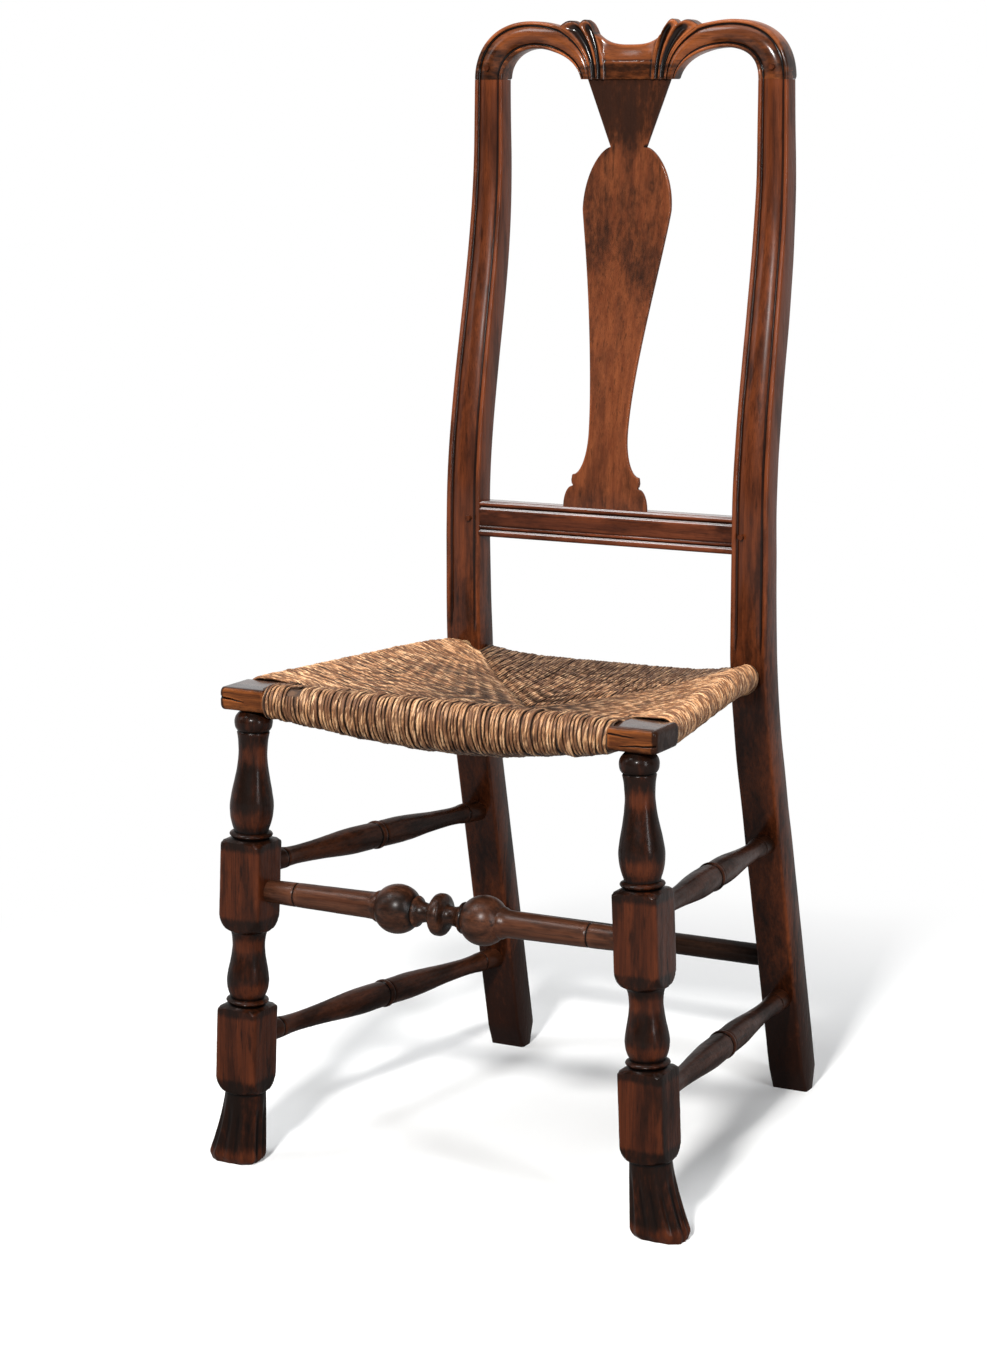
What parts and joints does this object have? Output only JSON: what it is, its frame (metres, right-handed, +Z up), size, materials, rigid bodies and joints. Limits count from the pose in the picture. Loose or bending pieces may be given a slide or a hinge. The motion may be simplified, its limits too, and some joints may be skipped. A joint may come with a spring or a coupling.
{
  "type": "rush seat side chair",
  "caption": "Tall-backed wooden side chair with a carved yoke crest, vase splat, moulded stiles, turned front legs on brush feet, turned stretchers and a woven rush seat.",
  "frame": {"origin": "on the floor, below the middle of the chair's bounding box", "axes": "+Z up, the chair faces -Y, +X is to the right as seen from the front"},
  "size_m": [0.4794, 0.4717, 1.0359],
  "materials": {
    "stained_wood": "stained and waxed, satin",
    "stained_wood_dark": "dark stain, waxed, satin",
    "peg_wood": "dark end grain",
    "bare_wood": "unfinished, hidden in the rush",
    "rush": "twisted rush cord, dry"
  },
  "bodies": {
    "root": {"crest_rail": "stained_wood", "splat": "stained_wood", "stay_rail": "stained_wood", "left_stile": "stained_wood", "right_stile": "stained_wood", "left_front_leg": "stained_wood_dark", "right_front_leg": "stained_wood_dark", "front_seat_rail": "stained_wood", "left_seat_rail": "bare_wood", "right_seat_rail": "bare_wood", "rear_seat_rail": "bare_wood", "front_stretcher": "stained_wood_dark", "left_upper_stretcher": "stained_wood_dark", "left_lower_stretcher": "stained_wood_dark", "right_upper_stretcher": "stained_wood_dark", "right_lower_stretcher": "stained_wood_dark", "rear_stretcher": "stained_wood_dark", "rush_seat": "rush", "crest_left_peg": "peg_wood", "crest_right_peg": "peg_wood", "stay_left_peg": "peg_wood", "stay_right_peg": "peg_wood"}
  },
  "joints": []
}
